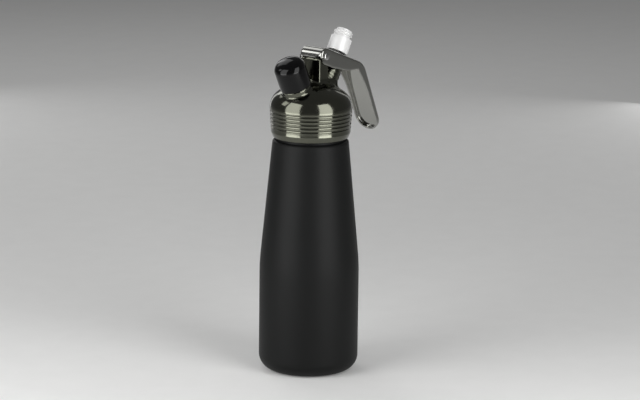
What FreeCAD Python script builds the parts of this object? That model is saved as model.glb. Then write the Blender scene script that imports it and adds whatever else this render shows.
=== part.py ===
import FreeCAD, Part
import math
import os

# Whipped cream dispenser of the half-litre class, assembled and standing on its base.
# Millimetres. Origin at the centre of the base, +Z up, +X towards the hand lever.
# The object is symmetric about the plane Y = 0, apart from its threads.

# Driving dimensions

# fits
running_gap = 0.05        # radial, between pieces that move on each other
seat_gap = 0.03           # between pieces that are screwed or pressed together
thread_gap = 0.35         # radial play of the two hand-turned threads
spring_gap = 0.1          # radial, between the return spring and the collar's hub
check_spring_gap = 0.35   # radial, between the check valve's spring and the poppet's stem
valve_gap = 0.8           # free space kept round the open outlet valve
cheek_play = 0.5          # between the tower and each cheek of the lever

# bottle
body_radius = 40.0
base_round = 12.0
taper_start_z = 88.0
taper_end_z = 184.0
taper_blend = 190.0
shoulder_z = 188.6
shoulder_round = 2.6
shoulder_inset = 1.1      # bottle's shoulder inside the head's band
bottle_wall = 1.6
floor_wall = 3.0
neck_wall = 2.4
neck_height = 21.4

# thread between bottle and head
neck_pitch = 3.5
neck_ridge = 1.1
neck_ridge_base = 1.7
neck_ridge_crest = 0.9
neck_thread_turns = 4.0
neck_thread_start = 3.2   # above the shoulder
head_thread_turns = 3.5
ridge_sink = 0.3          # a ridge's root lies this far under its cylinder

# head
skirt_gap = 2.4           # between shoulder and skirt
skirt_wall = 3.15
skirt_edge_inset = 1.7
skirt_edge_height = 4.2
band_radius = 32.0
band_height = 3.0
band_round = 2.0
dome_swell = 1.1          # the skirt widens by this from band to dome
dome_land = 1.05          # plain, between the last groove and the dome
dome_height = 21.0
dome_side_round = 15.0
groove_count = 5
groove_pitch = 3.05
groove_width = 1.5
groove_depth = 0.55
gasket_thickness = 2.5
gasket_width = 3.2
dome_wall = 8.5           # the cavity ends this far below the dome's top
cavity_round = 12.0

# lever pivot
pivot_x = 5.4
pivot_rise = 20.5         # above the dome's top
pin_radius = 2.0
rivet_radius = 3.0
rivet_height = 0.9
rivet_round = 0.6
rivet_play = 0.15

# lever
lever_slope = 21.0        # degrees below level, at rest
lever_half_width = 11.2
lever_wall = 1.25
lever_nose_radius = 6.6
lever_edge_round = 1.7
lever_arm = 49.7          # pivot to the corner of the bend, along the web
lever_bend = 45.5         # degrees
lever_bend_radius = 17.0
handle_length = 62.5
handle_flange = 4.2
handle_tip_flange = 3.6
handle_tip_flat = 0.3     # half of the straight piece left across the end of the tip
handle_knuckle = 22.0     # from the corner of the bend to where the flange has its slim depth
handle_knuckle_round = 60.0
cheek_notch_x = 43.5      # inner corner between cheek and flange, under the bend
cheek_notch_rise = 0.6
cheek_notch_round = 3.0
cheek_heel_x = 33.0
cheek_heel_drop = 3.9
cheek_heel_round = 20.0
cheek_toe_x = 12.0
cheek_toe_round = 40.0
lever_travel = 10.0       # degrees
nose_end = 2.9            # how far the nose reaches below the pivot
past_tip = 5.0            # the lever's blank is this much longer before its tip is rounded

# tower that carries the pivot
tower_front_x = -1.5
tower_front_round = 1.6
tower_top_radius = 4.7
tower_crest_length = 7.2
tower_crest_round = 2.0
tower_step = 1.8          # below the pivot, clear of the end of the lever's nose
tower_into_boss = 2.0
tower_foot = 4.0
tower_foot_height = 5.0

# outlet: an inclined axis, measured from the pivot
outlet_tilt = 31.0        # degrees from +Z towards +X
outlet_offset = 23.1      # pivot to outlet axis
boss_radius = 9.1
boss_top = 0.8
boss_edge_round = 0.6
boss_flare = 5.0
boss_foot_depth = 3.0
boss_groove_count = 3
boss_groove_pitch = 3.3
boss_groove_width = 1.3
boss_groove_depth = 0.5
boss_groove_first = 2.7
flare_share = 0.95        # share of a flare's step that its arc takes
stem_radius = 4.0
stem_bore = 2.4
stem_top = 21.0
stem_end_wall = 1.0       # the bore ends this far above the seat
stem_guide_length = 3.0
cross_hole_radius = 1.4
cross_hole_count = 2
cross_hole_rise = 0.6     # above the stem's blind end
collar_radius = 8.0
collar_height = 2.7
collar_hub_radius = 4.9
collar_hub_height = 2.0
collar_round = 0.3
lever_play = 0.1          # between the lever's web and the collar
adapter_play = 0.25       # between the lever's web and the adapter
window_radius = 5.8
spring_recess_radius = 7.2
recess_open_height = 5.0  # the recess stays clear this far above the boss
spring_wire = 1.3
spring_turns = 4.5
bush_height = 5.5
bush_top = -3.5
oring_wire = 1.8
flow_bore_radius = 5.5
seat_depth = 24.0
seat_boss_radius = 9.0
seat_boss_length = 12.0
seal_height = 2.3
seal_radius = 7.0
foot_height = 2.0
foot_round = 0.6

# outlet adapter
adapter_radius = 8.6
adapter_skirt = 12.5
adapter_edge_round = 0.4
adapter_recess = 3.0
adapter_recess_radius = 6.8
adapter_thread_radius = 6.75
adapter_ridge = 0.95
adapter_ridge_base = 1.7
adapter_ridge_crest = 0.5
adapter_pitch = 2.4
adapter_thread_turns = 1.5
adapter_neck = 0.6        # plain, below the thread
adapter_spigot = 1.6      # plain, above the thread
adapter_spigot_radius = 6.3
adapter_spigot_round = 0.3
adapter_bore = 3.2
adapter_seal_height = 1.2

# gas inlet port and its cap
inlet_tilt = 26.5         # degrees from +Z towards -X
inlet_inset = 13.2        # from the dome's side to the cap's axis, at the cap's rim
inlet_drop = 0.5          # cap's rim, on its axis, below the dome's top
port_collar_radius = 11.9
port_collar_drop = 0.4    # collar's face below the cap's rim
port_collar_height = 2.6
port_edge_round = 0.5
port_flare = 4.0
port_root = 9.0
port_boss_wall = 3.5
port_boss_rise = 1.0      # insert's end below the boss
port_boss_length = 5.0
stub_root_radius = 9.0
stub_height = 13.5
stub_edge_round = 0.8
stub_bore = 5.0
cap_radius = 12.6
cap_height = 23.6
cap_crown = 1.5
cap_edge_round = 5.0
cap_rim_round = 0.4
cap_top_wall = 2.6
cap_upper_bore = 8.5
cap_bore_round = 2.0
cap_pitch = 2.5
cap_ridge = 0.9
cap_ridge_base = 1.2
cap_ridge_crest = 0.6
stub_thread_turns = 4.0
cap_thread_turns = 3.5
cap_liner_height = 1.0
cap_liner_width = 3.6
liner_play = 0.05

# gas inlet valve
insert_radius = 4.0
insert_flange_radius = 4.95
insert_flange_height = 2.5
insert_flange_top = 0.5
insert_length = 10.5
insert_oring_wire = 0.9
pin_body_radius = 1.2
pin_reach = 7.0           # above the insert's flange
pin_point = 1.8
pin_tip_land = 0.1
pin_gas_hole = 0.45
pin_seat_depth = 3.5
charger_seal_bore = 2.0
charger_seal_height = 2.0
valve_chamber_radius = 2.6
poppet_radius = 2.2
poppet_height = 1.0
poppet_stem_radius = 0.8
poppet_stem_length = 3.0
poppet_face_radius = 2.0
poppet_face_height = 0.55
poppet_travel = 1.0
retainer_height = 1.4
retainer_bore = 1.1
check_wire = 0.35
check_turns = 4.5

overrun = 1.0             # a cutting shape passes the face that it opens by this

# Derived places

dome_radius = band_radius + dome_swell
skirt_edge_radius = band_radius - skirt_edge_inset
taper_end_radius = band_radius - shoulder_inset
head_bore = band_radius - skirt_wall
neck_radius = head_bore - thread_gap - neck_ridge
neck_bore = neck_radius - neck_wall
gasket_radius = head_bore - thread_gap
neck_top_z = shoulder_z + neck_height
skirt_z = shoulder_z + skirt_gap
gasket_top_z = neck_top_z + gasket_thickness
band_top_z = skirt_z + skirt_edge_height + band_height
dome_base_z = band_top_z + groove_count * groove_pitch + dome_land
dome_top_z = dome_base_z + dome_height
cavity_top_z = dome_top_z - dome_wall
pivot_z = dome_top_z + pivot_rise
inlet_x = inlet_inset - dome_radius
inlet_z = dome_top_z - inlet_drop
tower_half_width = lever_half_width - lever_wall - cheek_play
handle_tip_radius = lever_half_width - handle_tip_flat

# places on the outlet axis are measured from the foot of the pivot's perpendicular
tilt_difference = math.radians(outlet_tilt - lever_slope)
web_top = lever_nose_radius
web_under = lever_nose_radius - lever_wall
collar_inner = outlet_offset - collar_radius
adapter_outer = outlet_offset + adapter_radius
collar_top = (web_under + collar_inner * math.sin(tilt_difference)) / math.cos(tilt_difference) - lever_play
adapter_base = (web_top + adapter_outer * math.sin(tilt_difference)) / math.cos(tilt_difference) + adapter_play
collar_top_squeezed = web_under / math.cos(tilt_difference - math.radians(lever_travel)) - lever_play
stem_travel = collar_top - collar_top_squeezed
collar_base = collar_top - collar_height
bush_base = bush_top - bush_height
oring_base = bush_base - oring_wire
oring_groove_radius = stem_radius + running_gap + oring_wire + seat_gap
adapter_skirt_top = adapter_base + adapter_skirt
adapter_thread_base = adapter_skirt_top + adapter_neck
adapter_thread_top = adapter_thread_base + adapter_pitch * adapter_thread_turns + adapter_ridge_base
adapter_top = adapter_thread_top + adapter_spigot

# places on the inlet axis are measured from the cap's rim
insert_flange_base = insert_flange_top - insert_flange_height
insert_base = insert_flange_base - insert_length
check_spring_height = (check_turns + 1) * check_wire + poppet_travel
poppet_top_height = poppet_height + poppet_face_height
valve_chamber_depth = retainer_height + check_spring_height + poppet_top_height + running_gap
valve_seat = insert_base + valve_chamber_depth


def vector(x, y, z):
    return FreeCAD.Vector(x, y, z)


def unit(start, end):
    step = end.sub(start)
    return step.multiply(1.0 / step.Length)


def section(corners):
    """Face in the plane Y = 0. Corners are (x, z), or (x, z, radius) where the corner is rounded."""
    places = [vector(c[0], 0, c[1]) for c in corners]
    radii = [c[2] if len(c) > 2 else 0.0 for c in corners]
    count = len(corners)
    starts = []
    ends = []
    arcs = []
    for i in range(count):
        here = places[i]
        to_last = unit(here, places[i - 1])
        to_next = unit(here, places[(i + 1) % count])
        half = 0.5 * to_last.getAngle(to_next)
        if radii[i] > 0:
            reach = radii[i] / math.tan(half)
            first = here.add(to_last * reach)
            last = here.add(to_next * reach)
            middle_way = to_last.add(to_next)
            middle_way.normalize()
            middle = here.add(middle_way * (radii[i] / math.sin(half) - radii[i]))
            arcs.append(Part.Arc(first, middle, last).toShape())
        else:
            first = here
            last = here
            arcs.append(None)
        starts.append(first)
        ends.append(last)
    edges = []
    for i in range(count):
        if arcs[i] is not None:
            edges.append(arcs[i])
        after = (i + 1) % count
        if ends[i].distanceToPoint(starts[after]) > 1e-6:
            edges.append(Part.LineSegment(ends[i], starts[after]).toShape())
    return Part.Face(Part.Wire(edges))


def turned(corners):
    """Solid of revolution about +Z, from an outline given as (radius, height)."""
    return section(corners).revolve(vector(0, 0, 0), vector(0, 0, 1), 360)


def ring(outer, inner, base, top):
    return turned([(inner, base), (outer, base), (outer, top), (inner, top)])


def rod(radius, base, top):
    return Part.makeCylinder(radius, top - base, vector(0, 0, base))


def cross_rod(radius, half_length, x, z):
    """Rod along Y through (x, 0, z)."""
    return Part.makeCylinder(radius, 2 * half_length, vector(x, -half_length, z), vector(0, 1, 0))


def low_dome(radius, height, side_round, base):
    """Solid dome on the plane Z = base: a tight arc at the side runs into a wide arc over the top."""
    offset = radius - side_round
    crown = (offset ** 2 + height ** 2 - side_round ** 2) / (2 * (height - side_round))
    side_middle = vector(offset, 0, base)
    crown_middle = vector(0, 0, base + height - crown)
    way = unit(crown_middle, side_middle)
    meeting = crown_middle.add(way * crown)
    edge_point = vector(radius, 0, base)
    top_point = vector(0, 0, base + height)
    turn = math.atan2(way.z, way.x)
    side_halfway = side_middle.add(vector(math.cos(turn / 2), 0, math.sin(turn / 2)) * side_round)
    crown_turn = (turn + math.pi / 2) / 2
    crown_halfway = crown_middle.add(vector(math.cos(crown_turn), 0, math.sin(crown_turn)) * crown)
    centre = vector(0, 0, base)
    edges = [Part.LineSegment(centre, edge_point).toShape(),
             Part.Arc(edge_point, side_halfway, meeting).toShape(),
             Part.Arc(meeting, crown_halfway, top_point).toShape(),
             Part.LineSegment(top_point, centre).toShape()]
    return Part.Face(Part.Wire(edges)).revolve(vector(0, 0, 0), vector(0, 0, 1), 360)


def ridge(radius, height, pitch, turns, start, base_width, crest_width):
    """Right-hand thread ridge on a cylinder. A negative height points it inwards."""
    side = 1.0 if height > 0 else -1.0
    root = radius - side * ridge_sink
    crest = radius + height
    slope = (base_width - crest_width) / 2 / abs(height)
    root_half = base_width / 2 + slope * ridge_sink
    crest_half = crest_width / 2
    outline = [(root, start - root_half), (crest, start - crest_half), (crest, start + crest_half),
               (root, start + root_half)]
    profile = section(outline).OuterWire
    helix = Part.makeHelix(pitch, pitch * turns, radius)
    helix.translate(vector(0, 0, start))
    return Part.Wire(helix).makePipeShell([profile], True, True)


def coil(mean_radius, wire, base, top, turns, make_path):
    """Helical spring of round wire between two planes, along a path in one piece or one piece per turn."""
    low = base + wire / 2
    rise = top - base - wire
    helix = make_path(rise / turns, rise, mean_radius)
    helix.translate(vector(0, 0, low))
    circle = Part.Circle(vector(mean_radius, 0, low), vector(0, 1, 0), wire / 2).toShape()
    return Part.Wire(helix).makePipeShell([Part.Wire(circle)], True, True)


def slanted(shape, x, z, tilt):
    """Moves a shape from its own upright axis to an axis through (x, 0, z), tilted about +Y."""
    moved = shape.copy()
    moved.rotate(vector(0, 0, 0), vector(0, 1, 0), tilt)
    moved.translate(vector(x, 0, z))
    return moved


def on_outlet(shape):
    tilt = math.radians(outlet_tilt)
    foot_x = pivot_x + outlet_offset * math.cos(tilt)
    foot_z = pivot_z - outlet_offset * math.sin(tilt)
    return slanted(shape, foot_x, foot_z, outlet_tilt)


def on_inlet(shape):
    return slanted(shape, inlet_x, inlet_z, -inlet_tilt)


def plate(corners, half_width):
    """A section of the plane Y = 0, extruded to both sides."""
    face = section(corners)
    face.translate(vector(0, -half_width, 0))
    return face.extrude(vector(0, 2 * half_width, 0))


def save(name, shape):
    solid = shape
    if len(shape.Solids) == 1:
        solid = shape.Solids[0]
    solid.exportStep("parts/" + name + ".step")
    print("%-18s solids %d  valid %s  volume %.1f" % (name, len(solid.Solids), solid.isValid(), solid.Volume))


# Bottle

def make_bottle():
    slope = (body_radius - taper_end_radius) / (taper_end_z - taper_start_z)
    top_radius = taper_end_radius - (shoulder_z - taper_end_z) * slope
    outer = [(0, 0), (body_radius, 0, base_round), (body_radius, taper_start_z, taper_blend),
             (top_radius, shoulder_z, shoulder_round), (neck_radius, shoulder_z),
             (neck_radius, neck_top_z), (0, neck_top_z)]
    inner_top = shoulder_z - bottle_wall
    inner = [(0, floor_wall), (body_radius - bottle_wall, floor_wall, base_round - bottle_wall),
             (body_radius - bottle_wall, taper_start_z, taper_blend),
             (top_radius - bottle_wall, inner_top, shoulder_round), (neck_bore, inner_top),
             (neck_bore, neck_top_z + overrun), (0, neck_top_z + overrun)]
    shell = turned(outer).cut(turned(inner))
    thread = ridge(neck_radius, neck_ridge, neck_pitch, neck_thread_turns, shoulder_z + neck_thread_start,
                   neck_ridge_base, neck_ridge_crest)
    return shell.fuse(thread)


def make_head_gasket():
    return ring(gasket_radius, gasket_radius - gasket_width, neck_top_z, gasket_top_z)


# Head

def skirt_outline():
    """Outside of the skirt, from its lower edge to the foot of the dome."""
    outline = [(skirt_edge_radius, skirt_z), (band_radius, skirt_z + skirt_edge_height, band_round),
               (band_radius, band_top_z)]
    swell = dome_swell / (dome_base_z - band_top_z)
    for i in range(groove_count):
        middle = band_top_z + groove_width + i * groove_pitch
        radius = band_radius + swell * (middle - band_top_z)
        half = groove_width / 2
        outline.append((radius, middle - half))
        outline.append((radius - groove_depth, middle - half / 2))
        outline.append((radius - groove_depth, middle + half / 2))
        outline.append((radius, middle + half))
    outline.append((dome_radius, dome_base_z))
    return outline


def make_tower():
    """Block that carries the pivot between the lever's cheeks, joined to the outlet boss."""
    tilt = math.radians(outlet_tilt)
    boss_side = outlet_offset - boss_radius + tower_into_boss
    crest_x = pivot_x + tower_top_radius * math.sin(tilt)
    crest_z = pivot_z + tower_top_radius * math.cos(tilt)
    crest_end_x = crest_x + tower_crest_length * math.cos(tilt)
    crest_end_z = crest_z - tower_crest_length * math.sin(tilt)
    joint_x = pivot_x + boss_side * math.cos(tilt) + boss_top * math.sin(tilt)
    joint_z = pivot_z - boss_side * math.sin(tilt) + boss_top * math.cos(tilt)
    step_z = pivot_z - tower_step
    foot_z = dome_base_z + dome_height / 2
    block = plate([(tower_front_x, foot_z), (joint_x, foot_z), (joint_x, joint_z),
                   (crest_end_x, crest_end_z, tower_crest_round), (crest_x, crest_z), (pivot_x, pivot_z),
                   (pivot_x - tower_top_radius, pivot_z), (pivot_x - tower_top_radius, step_z),
                   (tower_front_x, step_z)], tower_half_width)
    uprights = [edge for edge in block.Edges if abs(edge.BoundBox.XMax - tower_front_x) < 0.001
                and edge.BoundBox.YLength < 0.001]
    block = block.makeFillet(tower_front_round, uprights)
    crown = cross_rod(tower_top_radius, tower_half_width, pivot_x, pivot_z)
    wide = footprint(dome_top_z - tower_foot_height, tower_foot, joint_x)
    slim = footprint(dome_top_z + tower_foot_height, 0, joint_x)
    foot = Part.makeLoft([wide, slim], True, True)
    return block.fuse([crown, foot])


def footprint(height, margin, back_x):
    """Level outline of the tower, wider by a margin at its front and sides."""
    front_x = tower_front_x - margin
    half = tower_half_width + margin
    corners = [(front_x, -half), (back_x, -half), (back_x, half), (front_x, half), (front_x, -half)]
    return Part.makePolygon([vector(x, y, height) for x, y in corners])


def make_boss():
    """Grooved boss of the outlet, flared into the dome, on its own upright axis."""
    outline = [(0, boss_top), (boss_radius, boss_top, boss_edge_round)]
    for i in range(boss_groove_count):
        middle = -boss_groove_first - i * boss_groove_pitch
        half = boss_groove_width / 2
        outline.append((boss_radius, middle + half))
        outline.append((boss_radius - boss_groove_depth, middle + half / 2))
        outline.append((boss_radius - boss_groove_depth, middle - half / 2))
        outline.append((boss_radius, middle - half))
    flare_top = -boss_groove_first - (boss_groove_count - 1) * boss_groove_pitch - boss_groove_width
    flare_base = flare_top - boss_flare
    outline.append((boss_radius, flare_base, boss_flare * flare_share))
    outline.append((boss_radius + boss_flare, flare_base))
    outline.append((boss_radius + boss_flare, flare_base - boss_foot_depth))
    outline.append((0, flare_base - boss_foot_depth))
    return turned(outline)


def make_port():
    """Collar and threaded stub of the gas inlet, on its own upright axis."""
    collar_top_t = -port_collar_drop
    flare_base = collar_top_t - port_collar_height - port_flare
    flare_radius = port_collar_radius + port_flare
    outline = [(0, stub_height), (stub_root_radius, stub_height, stub_edge_round),
               (stub_root_radius, collar_top_t), (port_collar_radius, collar_top_t, port_edge_round),
               (port_collar_radius, flare_base, port_flare * flare_share), (flare_radius, flare_base),
               (flare_radius, -port_root), (0, -port_root)]
    thread = ridge(stub_root_radius, cap_ridge, cap_pitch, stub_thread_turns, cap_ridge_base,
                   cap_ridge_base, cap_ridge_crest)
    return turned(outline).fuse(thread)


def outlet_bores():
    """Cut along the outlet axis: valve space, flow bore, stem guide, O-ring groove and spring recess."""
    valve_height = seal_height + foot_height + stem_travel + valve_gap
    return [on_outlet(rod(seal_radius + valve_gap, -seat_depth - valve_height, -seat_depth)),
            on_outlet(rod(flow_bore_radius, -seat_depth - overrun, oring_base - stem_guide_length)),
            on_outlet(rod(stem_radius + running_gap, -seat_depth - overrun, oring_base)),
            on_outlet(rod(oring_groove_radius, oring_base, bush_base)),
            on_outlet(rod(spring_recess_radius, bush_base, boss_top + recess_open_height))]


def inlet_bores():
    """Cut along the inlet axis: charger neck, insert's flange, its O-ring and its body."""
    groove_radius = insert_radius + insert_oring_wire + 2 * seat_gap
    return [on_inlet(rod(stub_bore, insert_flange_base, stub_height + overrun)),
            on_inlet(rod(groove_radius, insert_flange_base - insert_oring_wire, insert_flange_base)),
            on_inlet(rod(insert_radius + seat_gap, insert_base - overrun, insert_flange_base))]


def make_head_casting():
    skirt = turned([(0, skirt_z)] + skirt_outline() + [(0, dome_base_z)])
    dome = low_dome(dome_radius, dome_height, dome_side_round, dome_base_z)
    body = skirt.fuse([dome, make_tower(), on_outlet(make_boss()), on_inlet(make_port())])
    socket = rod(head_bore, skirt_z - overrun, gasket_top_z)
    cavity = turned([(0, gasket_top_z - overrun), (neck_bore, gasket_top_z - overrun),
                     (neck_bore, cavity_top_z, cavity_round), (0, cavity_top_z)])
    body = body.cut(socket).cut(cavity)
    seat_boss = on_outlet(rod(seat_boss_radius, -seat_depth, seat_boss_length - seat_depth))
    port_boss_base = insert_base + port_boss_rise
    port_boss = on_inlet(rod(insert_radius + port_boss_wall, port_boss_base, port_boss_base + port_boss_length))
    body = body.fuse([seat_boss, port_boss])
    for bore in outlet_bores() + inlet_bores():
        body = body.cut(bore)
    body = body.cut(cross_rod(pin_radius + seat_gap, tower_half_width + overrun, pivot_x, pivot_z))
    # the head's ridge runs in the spaces of the neck's ridge
    thread_start = shoulder_z + neck_thread_start + neck_pitch / 2
    thread = ridge(head_bore, -neck_ridge, neck_pitch, head_thread_turns, thread_start,
                   neck_ridge_base, neck_ridge_crest)
    return body.fuse(thread)


# Outlet valve

def make_guide_bush():
    bush = ring(spring_recess_radius - seat_gap, stem_radius + running_gap, bush_base, bush_top)
    return on_outlet(bush)


def make_stem_oring():
    middle = stem_radius + running_gap + oring_wire / 2
    return on_outlet(Part.makeTorus(middle, oring_wire / 2, vector(0, 0, oring_base + oring_wire / 2)))


def make_return_spring():
    mean = collar_hub_radius + spring_wire / 2 + spring_gap
    return on_outlet(coil(mean, spring_wire, bush_top, collar_base, spring_turns, Part.makeHelix))


def make_piston_stem():
    foot_top = -seat_depth - seal_height - lever_play
    foot_base = foot_top - foot_height
    blind_end = -seat_depth + stem_end_wall
    outline = [(0, foot_base), (seal_radius, foot_base, foot_round), (seal_radius, foot_top),
               (stem_radius, foot_top), (stem_radius, stem_top), (stem_bore, stem_top),
               (stem_bore, blind_end), (0, blind_end)]
    stem = turned(outline)
    for i in range(cross_hole_count):
        hole_height = blind_end + (1 + 2 * i) * (cross_hole_radius + cross_hole_rise)
        hole = Part.makeCylinder(cross_hole_radius, 4 * stem_radius, vector(-2 * stem_radius, 0, hole_height),
                                 vector(1, 0, 0))
        hole.rotate(vector(0, 0, 0), vector(0, 0, 1), 180.0 * i / cross_hole_count)
        stem = stem.cut(hole)
    return on_outlet(stem)


def make_piston_seal():
    top = -seat_depth - lever_play
    return on_outlet(ring(seal_radius, stem_radius + seat_gap, top - seal_height, top))


def make_thrust_collar():
    inner = stem_radius + seat_gap
    hub_base = collar_base - collar_hub_height
    outline = [(inner, hub_base), (collar_hub_radius, hub_base, collar_round), (collar_hub_radius, collar_base),
               (collar_radius, collar_base, collar_round), (collar_radius, collar_top, collar_round),
               (inner, collar_top)]
    return on_outlet(turned(outline))


def make_outlet_adapter():
    recess_top = adapter_base + adapter_recess
    seal_top = stem_top + adapter_seal_height
    socket = stem_radius + seat_gap
    outline = [(socket, recess_top), (adapter_recess_radius, recess_top), (adapter_recess_radius, adapter_base),
               (adapter_radius, adapter_base, adapter_edge_round),
               (adapter_radius, adapter_skirt_top, adapter_edge_round),
               (adapter_thread_radius, adapter_skirt_top), (adapter_thread_radius, adapter_thread_top),
               (adapter_spigot_radius, adapter_thread_top),
               (adapter_spigot_radius, adapter_top, adapter_spigot_round), (adapter_bore, adapter_top),
               (adapter_bore, seal_top), (socket, seal_top)]
    thread = ridge(adapter_thread_radius, adapter_ridge, adapter_pitch, adapter_thread_turns,
                   adapter_thread_base + adapter_ridge_base / 2, adapter_ridge_base, adapter_ridge_crest)
    return on_outlet(turned(outline).fuse(thread))


def make_adapter_seal():
    return on_outlet(ring(stem_radius, stem_bore, stem_top, stem_top + adapter_seal_height))


# Lever, in its own frame until it is placed: pivot at the origin, web along +X

def handle_ways():
    """Corner of the bend, the way down the handle, and the way from its panel to the bottle."""
    turn = math.radians(lever_bend)
    corner = vector(lever_arm, 0, lever_nose_radius)
    down = vector(math.cos(turn), 0, -math.sin(turn))
    inward = vector(-math.sin(turn), 0, -math.cos(turn))
    return corner, down, inward


def handle_point(along, depth):
    corner, down, inward = handle_ways()
    place = corner.add(down * along).add(inward * depth)
    return (place.x, place.z)


def handle_plan(inset):
    """The handle's outline seen square to its panel, as a tall block: a strip with a rounded tip."""
    half = lever_half_width - inset
    length = handle_length - inset
    back = 2 * lever_arm
    strip = Part.makeBox(length + back, 2 * half, 2 * back, vector(-back, -half, -back))
    corners = [edge for edge in strip.Edges
               if edge.BoundBox.ZLength > back and edge.BoundBox.XMin > length - overrun]
    strip = strip.makeFillet(handle_tip_radius - inset, corners)
    strip.rotate(vector(0, 0, 0), vector(0, 1, 0), lever_bend)
    strip.translate(handle_ways()[0])
    return strip


def rim_edge(edge):
    """Long outer edges of the lever's blank, where web and panel turn into the cheeks and the tip."""
    corner, down, inward = handle_ways()
    bend_reach = lever_bend_radius * math.tan(math.radians(lever_bend / 2))
    bend_x = lever_arm - bend_reach
    bend_z = lever_nose_radius - lever_bend_radius
    limit = 0.05
    for share in (0.25, 0.5, 0.75):
        point = edge.valueAt(edge.FirstParameter + (edge.LastParameter - edge.FirstParameter) * share)
        from_corner = point.sub(corner)
        along = from_corner.dot(down)
        on_side = abs(abs(point.y) - lever_half_width) < limit
        on_panel = abs(from_corner.dot(inward)) < limit and along > 0
        on_web = abs(point.z - lever_nose_radius) < limit and point.x >= -limit
        on_bend = abs(math.hypot(point.x - bend_x, point.z - bend_z) - lever_bend_radius) < limit
        on_nose = abs(math.hypot(point.x, point.z) - lever_nose_radius) < limit and point.x < 0
        if not (on_panel or (on_side and (on_web or on_bend or on_nose))):
            return False
        if on_panel and not on_side and along < handle_length - handle_tip_radius - limit:
            return False
    return True


def lever_blank():
    """Outside of the lever: nose, web, bend, handle and cheeks as one block."""
    nose = lever_nose_radius
    beyond = handle_length + past_tip
    outer = [(-nose, nose, nose), (lever_arm, nose, lever_bend_radius), handle_point(beyond, 0),
             handle_point(beyond, handle_tip_flange),
             handle_point(handle_knuckle, handle_flange) + (handle_knuckle_round,),
             (cheek_notch_x, cheek_notch_rise, cheek_notch_round),
             (cheek_heel_x, -cheek_heel_drop, cheek_heel_round),
             (cheek_toe_x, -nose, cheek_toe_round), (-nose, -nose, nose)]
    blank = plate(outer, lever_half_width).common(handle_plan(0)).removeSplitter()
    return blank.makeFillet(lever_edge_round, [edge for edge in blank.Edges if rim_edge(edge)])


def lever_inside():
    """Space between the cheeks, open below. The nose keeps a round inner wall down to its end."""
    wall = lever_wall
    nose = lever_nose_radius
    inner_nose = nose - wall
    inner_half = lever_half_width - wall
    inner_arm = lever_arm - wall * math.tan(math.radians(lever_bend / 2))
    beyond = handle_length + past_tip
    clear = lever_arm + past_tip
    hollow = [(-2 * nose, -nose_end), (-math.sqrt(inner_nose ** 2 - nose_end ** 2), -nose_end),
              (-inner_nose, inner_nose), (inner_arm, inner_nose, lever_bend_radius - wall),
              handle_point(beyond, wall), handle_point(beyond, clear), (-2 * nose, -clear)]
    inside = plate(hollow, inner_half).common(handle_plan(wall))
    nose_block = plate([(-2 * nose, -nose_end), (0, -nose_end), (0, 2 * nose), (-2 * nose, 2 * nose)],
                       lever_half_width)
    return inside.cut(nose_block.cut(cross_rod(inner_nose, inner_half, 0, 0)))


def make_lever():
    # the stem's axis crosses the web here at rest and when squeezed; the window lies between
    web_middle = (web_top + web_under) / 2
    at_rest = outlet_offset / math.cos(tilt_difference) + web_middle * math.tan(tilt_difference)
    window_x = (at_rest + outlet_offset) / 2
    window_base = vector(window_x, 0, web_under - overrun)
    window = Part.makeCylinder(window_radius, lever_wall + 2 * overrun, window_base)
    pin_hole = cross_rod(pin_radius + running_gap, lever_half_width + overrun, 0, 0)
    lever = lever_blank().cut(lever_inside()).cut(window).cut(pin_hole)
    return slanted(lever, pivot_x, pivot_z, lever_slope)


def make_pivot_pin():
    shank_half = lever_half_width + rivet_play
    heads = []
    for side in (-1, 1):
        head = turned([(0, 0), (rivet_radius, 0), (rivet_radius, rivet_height, rivet_round), (0, rivet_height)])
        head.rotate(vector(0, 0, 0), vector(1, 0, 0), -90 * side)
        head.translate(vector(0, side * shank_half, 0))
        heads.append(head)
    return slanted(cross_rod(pin_radius, shank_half, 0, 0).fuse(heads), pivot_x, pivot_z, 0)


# Gas inlet

def make_inlet_insert():
    top = insert_flange_top
    outline = [(0, insert_base), (insert_radius, insert_base), (insert_radius, insert_flange_base),
               (insert_flange_radius, insert_flange_base), (insert_flange_radius, top), (0, top)]
    insert = turned(outline)
    insert = insert.cut(rod(pin_body_radius + seat_gap, top - pin_seat_depth, top + overrun))
    insert = insert.cut(rod(pin_gas_hole, insert_base - overrun, top))
    insert = insert.cut(rod(valve_chamber_radius, insert_base - overrun, valve_seat))
    return on_inlet(insert)


def make_insert_oring():
    middle = insert_radius + (insert_oring_wire + seat_gap) / 2
    level = insert_flange_base - insert_oring_wire / 2
    return on_inlet(Part.makeTorus(middle, insert_oring_wire / 2, vector(0, 0, level)))


def make_piercing_pin():
    base = insert_flange_top - pin_seat_depth + seat_gap
    tip = insert_flange_top + pin_reach
    outline = [(pin_gas_hole, base), (pin_body_radius, base), (pin_body_radius, tip - pin_point),
               (pin_gas_hole + pin_tip_land, tip), (pin_gas_hole, tip)]
    return on_inlet(turned(outline))


def make_charger_seal():
    top = insert_flange_top
    return on_inlet(ring(stub_bore - seat_gap, charger_seal_bore, top, top + charger_seal_height))


def make_check_face():
    top = valve_seat - running_gap
    return on_inlet(rod(poppet_face_radius, top - poppet_face_height, top))


def make_check_poppet():
    top = valve_seat - running_gap - poppet_face_height
    base = top - poppet_height
    stem_end = base - poppet_stem_length
    outline = [(0, stem_end), (poppet_stem_radius, stem_end), (poppet_stem_radius, base), (poppet_radius, base),
               (poppet_radius, top), (0, top)]
    return on_inlet(turned(outline))


def make_check_spring():
    base = insert_base + retainer_height
    mean = poppet_stem_radius + check_wire / 2 + check_spring_gap
    top = base + check_spring_height
    return on_inlet(coil(mean, check_wire, base, top, check_turns, Part.makeLongHelix))


def make_check_retainer():
    top = insert_base + retainer_height
    return on_inlet(ring(valve_chamber_radius - seat_gap, retainer_bore, insert_base, top))


# Cap

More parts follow.
